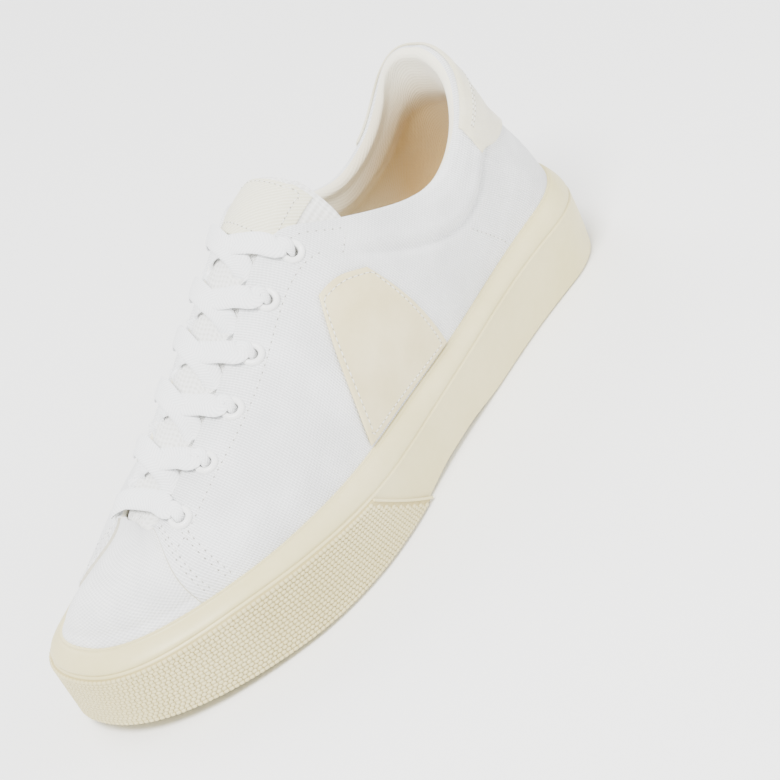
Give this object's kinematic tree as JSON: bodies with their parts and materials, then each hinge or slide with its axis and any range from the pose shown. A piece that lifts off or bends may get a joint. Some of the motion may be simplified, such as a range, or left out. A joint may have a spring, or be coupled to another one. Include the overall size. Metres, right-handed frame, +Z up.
{
  "type": "low lace-up sneaker",
  "caption": "Low canvas lace-up sneaker for the left foot, with a padded collar, a cushioned cupsole, a toe bumper and a flat-laced throat.",
  "frame": {"origin": "on the floor, at the middle of the shoe's outline seen from above", "axes": "toe along -X, outer (lateral) side faces -Y, inner (medial) side faces +Y, +Z up"},
  "size_m": [0.2945, 0.1023, 0.1147],
  "materials": {
    "sidewall_rubber": "satin",
    "tread_rubber": "matte",
    "bumper_rubber": "matte",
    "canvas": "matte",
    "footbed_fabric": "matte",
    "label_fabric": "matte",
    "suede": "matte",
    "panel_leather": "satin",
    "eyelet_plastic": "gloss",
    "lace_fabric": "matte"
  },
  "bodies": {
    "root": {"cupsole": "sidewall_rubber", "outsole": "tread_rubber", "toe_bumper": "bumper_rubber", "upper": "canvas", "insole": "footbed_fabric", "tongue": "canvas", "tongue_label": "label_fabric", "heel_tab": "suede", "side_panel_lateral": "panel_leather", "side_panel_medial": "panel_leather", "eyelet_lateral_1": "eyelet_plastic", "eyelet_medial_1": "eyelet_plastic", "eyelet_lateral_2": "eyelet_plastic", "eyelet_medial_2": "eyelet_plastic", "eyelet_lateral_3": "eyelet_plastic", "eyelet_medial_3": "eyelet_plastic", "eyelet_lateral_4": "eyelet_plastic", "eyelet_medial_4": "eyelet_plastic", "eyelet_lateral_5": "eyelet_plastic", "eyelet_medial_5": "eyelet_plastic", "eyelet_lateral_6": "eyelet_plastic", "eyelet_medial_6": "eyelet_plastic", "lace_bar": "lace_fabric", "lace_cross_1": "lace_fabric", "lace_cross_2": "lace_fabric", "lace_cross_3": "lace_fabric", "lace_cross_4": "lace_fabric", "lace_cross_5": "lace_fabric"}
  },
  "joints": []
}
